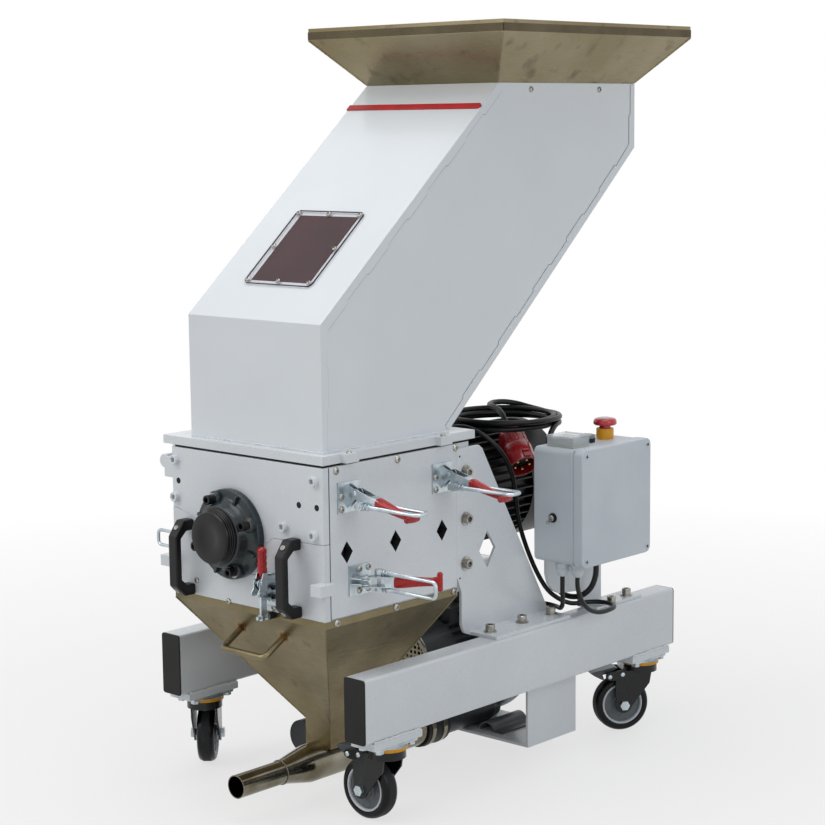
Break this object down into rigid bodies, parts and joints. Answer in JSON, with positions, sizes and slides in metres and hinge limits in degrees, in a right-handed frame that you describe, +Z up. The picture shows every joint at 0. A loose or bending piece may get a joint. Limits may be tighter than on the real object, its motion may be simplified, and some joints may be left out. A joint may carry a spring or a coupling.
{
  "type": "mobile plastic granulator",
  "caption": "Beside-the-press plastic granulator on four swivel casters, with a slanted feed hopper, cutting chamber, collecting funnel, blower and switch box.",
  "frame": {"origin": "middle of the machine on the floor", "axes": "+Z up, +Y from the bearing side to the motor side, +X to the latch and switch-box side"},
  "size_m": [0.6573, 0.9569, 1.2535],
  "materials": {
    "white_paint": "semi-gloss powder coat with a faint orange peel",
    "black_plastic": "moulded, fine grain",
    "yellow_steel": "painted swivel ring under a zinc plate",
    "machined_steel": "milled",
    "cast_housing": "painted dark green-grey",
    "black_rubber": "matt",
    "stainless": "satin sheet with weld marks",
    "clear_window": "clear acrylic",
    "red_rubber": "soft red strip",
    "grey_plastic": "extruded",
    "grey_paint": "satin",
    "cream_paint": "satin",
    "black_cast": "painted ribbed casting",
    "box_plastic": "moulded, fine grain",
    "red_plastic": "moulded",
    "zinc_steel": "bright zinc plate",
    "red_grip": "dipped grip on a zinc lever",
    "black_steel": "gloss black fork",
    "caster_tyre": "black tyre on a grey hub"
  },
  "bodies": {
    "frame": {"base_beams": "white_paint", "beam_end_caps": "black_plastic", "caster_pads": "white_paint", "caster_tops": "yellow_steel", "side_brackets": "white_paint", "blower_cradle": "white_paint", "front_plate": "white_paint", "front_door": "white_paint", "right_side_plate": "white_paint", "left_side_plate": "white_paint", "rear_block": "white_paint", "knife_beds": "machined_steel", "rotor": "machined_steel", "front_bearing": "cast_housing", "bearing_cap": "black_plastic", "lid_gasket": "black_rubber", "hinge_blocks": "white_paint", "funnel": "stainless", "discharge_pipe": "stainless", "hose_sleeve": "black_rubber", "air_pipes": "grey_plastic", "blower_casing": "grey_paint", "blower_motor": "grey_paint", "blower_guard": "cream_paint", "motor": "black_cast", "box_bracket": "white_paint", "switch_box": "box_plastic", "box_cover": "box_plastic", "box_fittings": "box_plastic", "pull_handles": "black_plastic", "latch_bases": "zinc_steel", "mains_plug": "red_plastic", "cable_coil": "black_rubber", "mains_cable": "black_rubber", "box_cables": "black_rubber"},
    "hopper": {"lid_plate": "white_paint", "hopper_body": "white_paint", "hopper_flare": "stainless", "window_pane": "clear_window", "red_curtain": "red_rubber"},
    "fork_front_right_body": {"fork_front_right": "black_steel"},
    "wheel_front_right_body": {"wheel_front_right": "caster_tyre"},
    "fork_front_left_body": {"fork_front_left": "black_steel"},
    "wheel_front_left_body": {"wheel_front_left": "caster_tyre"},
    "fork_rear_right_body": {"fork_rear_right": "black_steel"},
    "wheel_rear_right_body": {"wheel_rear_right": "caster_tyre"},
    "fork_rear_left_body": {"fork_rear_left": "black_steel"},
    "wheel_rear_left_body": {"wheel_rear_left": "caster_tyre"},
    "lever_upper_front_body": {"lever_upper_front": "red_grip"},
    "hook_upper_front_body": {"hook_upper_front": "zinc_steel"},
    "lever_upper_rear_body": {"lever_upper_rear": "red_grip"},
    "hook_upper_rear_body": {"hook_upper_rear": "zinc_steel"},
    "lever_lower_right_body": {"lever_lower_right": "red_grip"},
    "hook_lower_right_body": {"hook_lower_right": "zinc_steel"},
    "lever_lower_left_body": {"lever_lower_left": "red_grip"},
    "hook_lower_left_body": {"hook_lower_left": "zinc_steel"},
    "stop_button_body": {"stop_button": "red_plastic"},
    "timer_flap_body": {"timer_flap": "clear_window"},
    "clamp_arm_body": {"clamp_arm": "zinc_steel"},
    "clamp_lever_body": {"clamp_lever": "red_grip"}
  },
  "joints": [
    {"name": "swivel_front_right", "type": "hinge", "parent": "frame", "child": "fork_front_right_body", "pos_m": [0.214, -0.318, 0.115], "axis": [0, 0, 1], "continuous": true},
    {"name": "roll_front_right", "type": "hinge", "parent": "fork_front_right_body", "child": "wheel_front_right_body", "pos_m": [0.176, -0.318, 0.05], "axis": [0, -1, 0], "continuous": true},
    {"name": "swivel_front_left", "type": "hinge", "parent": "frame", "child": "fork_front_left_body", "pos_m": [-0.214, -0.318, 0.115], "axis": [0, 0, 1], "continuous": true},
    {"name": "roll_front_left", "type": "hinge", "parent": "fork_front_left_body", "child": "wheel_front_left_body", "pos_m": [-0.23943, -0.28976, 0.05], "axis": [-0.7431, -0.6691, 0], "continuous": true},
    {"name": "swivel_rear_right", "type": "hinge", "parent": "frame", "child": "fork_rear_right_body", "pos_m": [0.214, 0.35, 0.115], "axis": [0, 0, 1], "continuous": true},
    {"name": "roll_rear_right", "type": "hinge", "parent": "fork_rear_right_body", "child": "wheel_rear_right_body", "pos_m": [0.19275, 0.3185, 0.05], "axis": [0.829, -0.5592, 0], "continuous": true},
    {"name": "swivel_rear_left", "type": "hinge", "parent": "frame", "child": "fork_rear_left_body", "pos_m": [-0.214, 0.35, 0.115], "axis": [0, 0, 1], "continuous": true},
    {"name": "roll_rear_left", "type": "hinge", "parent": "fork_rear_left_body", "child": "wheel_rear_left_body", "pos_m": [-0.195, 0.38291, 0.05], "axis": [-0.866, 0.5, 0], "continuous": true},
    {"name": "open_upper_front", "type": "hinge", "parent": "frame", "child": "lever_upper_front_body", "pos_m": [0.196, -0.356, 0.531], "axis": [0, 1, 0], "range_deg": [-30, 40]},
    {"name": "swing_upper_front", "type": "hinge", "parent": "lever_upper_front_body", "child": "hook_upper_front_body", "pos_m": [0.21226, -0.356, 0.51355], "axis": [0, -1, 0], "range_deg": [0, 60]},
    {"name": "open_upper_rear", "type": "hinge", "parent": "frame", "child": "lever_upper_rear_body", "pos_m": [0.196, -0.139, 0.531], "axis": [0, 1, 0], "range_deg": [-30, 40]},
    {"name": "swing_upper_rear", "type": "hinge", "parent": "lever_upper_rear_body", "child": "hook_upper_rear_body", "pos_m": [0.21226, -0.139, 0.51355], "axis": [0, -1, 0], "range_deg": [0, 60]},
    {"name": "open_lower_right", "type": "hinge", "parent": "frame", "child": "lever_lower_right_body", "pos_m": [0.196, -0.342, 0.389], "axis": [0, 0, 1], "range_deg": [-60, 20]},
    {"name": "swing_lower_right", "type": "hinge", "parent": "lever_lower_right_body", "child": "hook_lower_right_body", "pos_m": [0.20297, -0.31919, 0.389], "axis": [0, 0, -1], "range_deg": [-24, 30]},
    {"name": "open_lower_left", "type": "hinge", "parent": "frame", "child": "lever_lower_left_body", "pos_m": [-0.196, -0.342, 0.389], "axis": [0, 0, -1], "range_deg": [-60, 20]},
    {"name": "swing_lower_left", "type": "hinge", "parent": "lever_lower_left_body", "child": "hook_lower_left_body", "pos_m": [-0.20297, -0.31919, 0.389], "axis": [0, 0, 1], "range_deg": [-24, 30]},
    {"name": "hopper_tilt", "type": "hinge", "parent": "frame", "child": "hopper", "pos_m": [-0.195, -0.246, 0.547], "axis": [0, -1, 0], "range_deg": [0, 95]},
    {"name": "stop_press", "type": "slide", "parent": "frame", "child": "stop_button_body", "axis": [0, 0, -1], "range_m": [0, 0.004]},
    {"name": "flap_lift", "type": "hinge", "parent": "frame", "child": "timer_flap_body", "pos_m": [0.236, 0.1375, 0.567], "axis": [-1, 0, 0], "range_deg": [0, 90]},
    {"name": "clamp_arm_swing", "type": "hinge", "parent": "frame", "child": "clamp_arm_body", "pos_m": [0.058, -0.43, 0.37], "axis": [-1, 0, 0], "range_deg": [0, 45]},
    {"name": "clamp_lever_swing", "type": "hinge", "parent": "frame", "child": "clamp_lever_body", "pos_m": [0.058, -0.439, 0.384], "axis": [1, 0, 0], "range_deg": [0, 100]}
  ]
}
